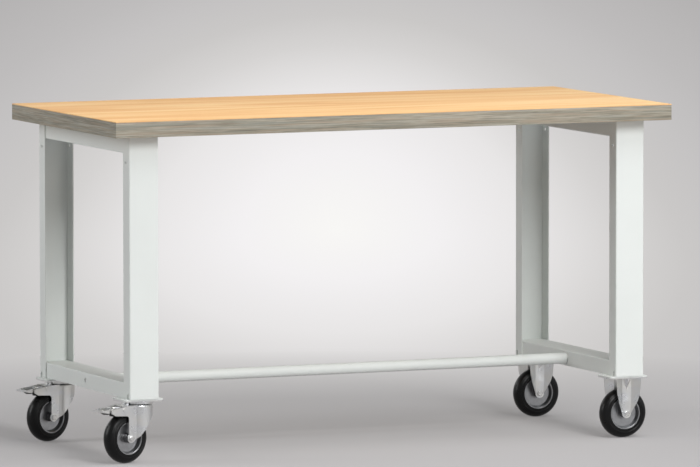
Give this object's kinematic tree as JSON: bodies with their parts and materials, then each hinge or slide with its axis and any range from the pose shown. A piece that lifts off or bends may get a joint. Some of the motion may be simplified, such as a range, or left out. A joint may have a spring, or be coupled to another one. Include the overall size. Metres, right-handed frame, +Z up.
{
  "type": "assembly table",
  "caption": "Mobile assembly table: wooden worktop on two welded steel side frames with a stretcher, standing on swivel castors with brakes and fixed castors.",
  "frame": {"origin": "on the floor, below the centre of the whole table's bounding box", "axes": "+X along the length towards the fixed castors, +Y towards the rear, +Z up"},
  "size_m": [1.538, 0.7, 0.845],
  "materials": {
    "powder_coat": "light grey powder coat, satin",
    "beech": "beech grain, satin lacquer",
    "edge_wood": "grey-brown wood grain, satin",
    "core_wood": "raw board",
    "zinc": "bright zinc plating",
    "rim_steel": "galvanised steel",
    "bearing_steel": "polished steel",
    "spring_steel": "spring wire",
    "hub_black": "dark grey bearing tube",
    "shoe_rubber": "black rubber block",
    "tyre_rubber": "black solid rubber"
  },
  "bodies": {
    "table": {"axle_bolt_front_right": "zinc", "axle_bolt_rear_right": "zinc", "axle_nut_front_right": "zinc", "axle_nut_rear_right": "zinc", "bracket_front_right": "zinc", "bracket_rear_right": "zinc", "castor_screws": "zinc", "edge_band_front": "edge_wood", "edge_band_left": "edge_wood", "edge_band_rear": "edge_wood", "edge_band_right": "edge_wood", "foot_plates": "powder_coat", "king_pins": "zinc", "leg_front_left": "powder_coat", "leg_front_right": "powder_coat", "leg_rear_left": "powder_coat", "leg_rear_right": "powder_coat", "lower_rail_left": "powder_coat", "lower_rail_right": "powder_coat", "race_ring_front_left": "zinc", "race_ring_rear_left": "zinc", "stretcher_bolts": "zinc", "stretcher_inserts": "zinc", "stretcher_tube": "powder_coat", "swivel_balls": "bearing_steel", "swivel_plate_front_left": "zinc", "swivel_plate_rear_left": "zinc", "upper_rail_left": "powder_coat", "upper_rail_right": "powder_coat", "worktop_core": "core_wood", "worktop_screws": "zinc", "worktop_surface": "beech"},
    "wheel_front_left": {"rim_front_left": "rim_steel", "tyre_front_left": "tyre_rubber", "hub_front_left": "hub_black"},
    "wheel_front_right": {"rim_front_right": "rim_steel", "tyre_front_right": "tyre_rubber", "hub_front_right": "hub_black"},
    "wheel_rear_left": {"rim_rear_left": "rim_steel", "tyre_rear_left": "tyre_rubber", "hub_rear_left": "hub_black"},
    "wheel_rear_right": {"rim_rear_right": "rim_steel", "tyre_rear_right": "tyre_rubber", "hub_rear_right": "hub_black"},
    "swivel_front_left": {"fork_front_left": "zinc", "axle_bolt_front_left": "zinc", "axle_nut_front_left": "zinc", "pedal_pin_front_left": "zinc", "pedal_spring_front_left": "spring_steel", "swivel_lock_front_left": "zinc"},
    "brake_front_left": {"brake_pedal_front_left": "zinc", "brake_shoe_front_left": "shoe_rubber"},
    "swivel_rear_left": {"fork_rear_left": "zinc", "axle_bolt_rear_left": "zinc", "axle_nut_rear_left": "zinc", "pedal_pin_rear_left": "zinc", "pedal_spring_rear_left": "spring_steel", "swivel_lock_rear_left": "zinc"},
    "brake_rear_left": {"brake_pedal_rear_left": "zinc", "brake_shoe_rear_left": "shoe_rubber"}
  },
  "joints": [
    {"name": "swivel_front_left_turn", "type": "hinge", "parent": "table", "child": "swivel_front_left", "pos_m": [-0.63901, -0.2595, 0.14], "axis": [0, 0, 1], "continuous": true},
    {"name": "wheel_front_left_roll", "type": "hinge", "parent": "swivel_front_left", "child": "wheel_front_left", "pos_m": [-0.67895, -0.27248, 0.0625], "axis": [-0.309, 0.9511, 0], "continuous": true},
    {"name": "brake_front_left_tip", "type": "hinge", "parent": "swivel_front_left", "child": "brake_front_left", "pos_m": [-0.69798, -0.27866, 0.134], "axis": [-0.309, 0.9511, 0], "range_deg": [-8, 0]},
    {"name": "wheel_front_right_roll", "type": "hinge", "parent": "table", "child": "wheel_front_right", "pos_m": [0.67699, -0.2595, 0.0625], "axis": [0, 1, 0], "continuous": true},
    {"name": "swivel_rear_left_turn", "type": "hinge", "parent": "table", "child": "swivel_rear_left", "pos_m": [-0.63901, 0.2595, 0.14], "axis": [0, 0, 1], "continuous": true},
    {"name": "wheel_rear_left_roll", "type": "hinge", "parent": "swivel_rear_left", "child": "wheel_rear_left", "pos_m": [-0.67895, 0.24652, 0.0625], "axis": [-0.309, 0.9511, 0], "continuous": true},
    {"name": "brake_rear_left_tip", "type": "hinge", "parent": "swivel_rear_left", "child": "brake_rear_left", "pos_m": [-0.69798, 0.24034, 0.134], "axis": [-0.309, 0.9511, 0], "range_deg": [-8, 0]},
    {"name": "wheel_rear_right_roll", "type": "hinge", "parent": "table", "child": "wheel_rear_right", "pos_m": [0.67699, 0.2595, 0.0625], "axis": [0, 1, 0], "continuous": true}
  ]
}
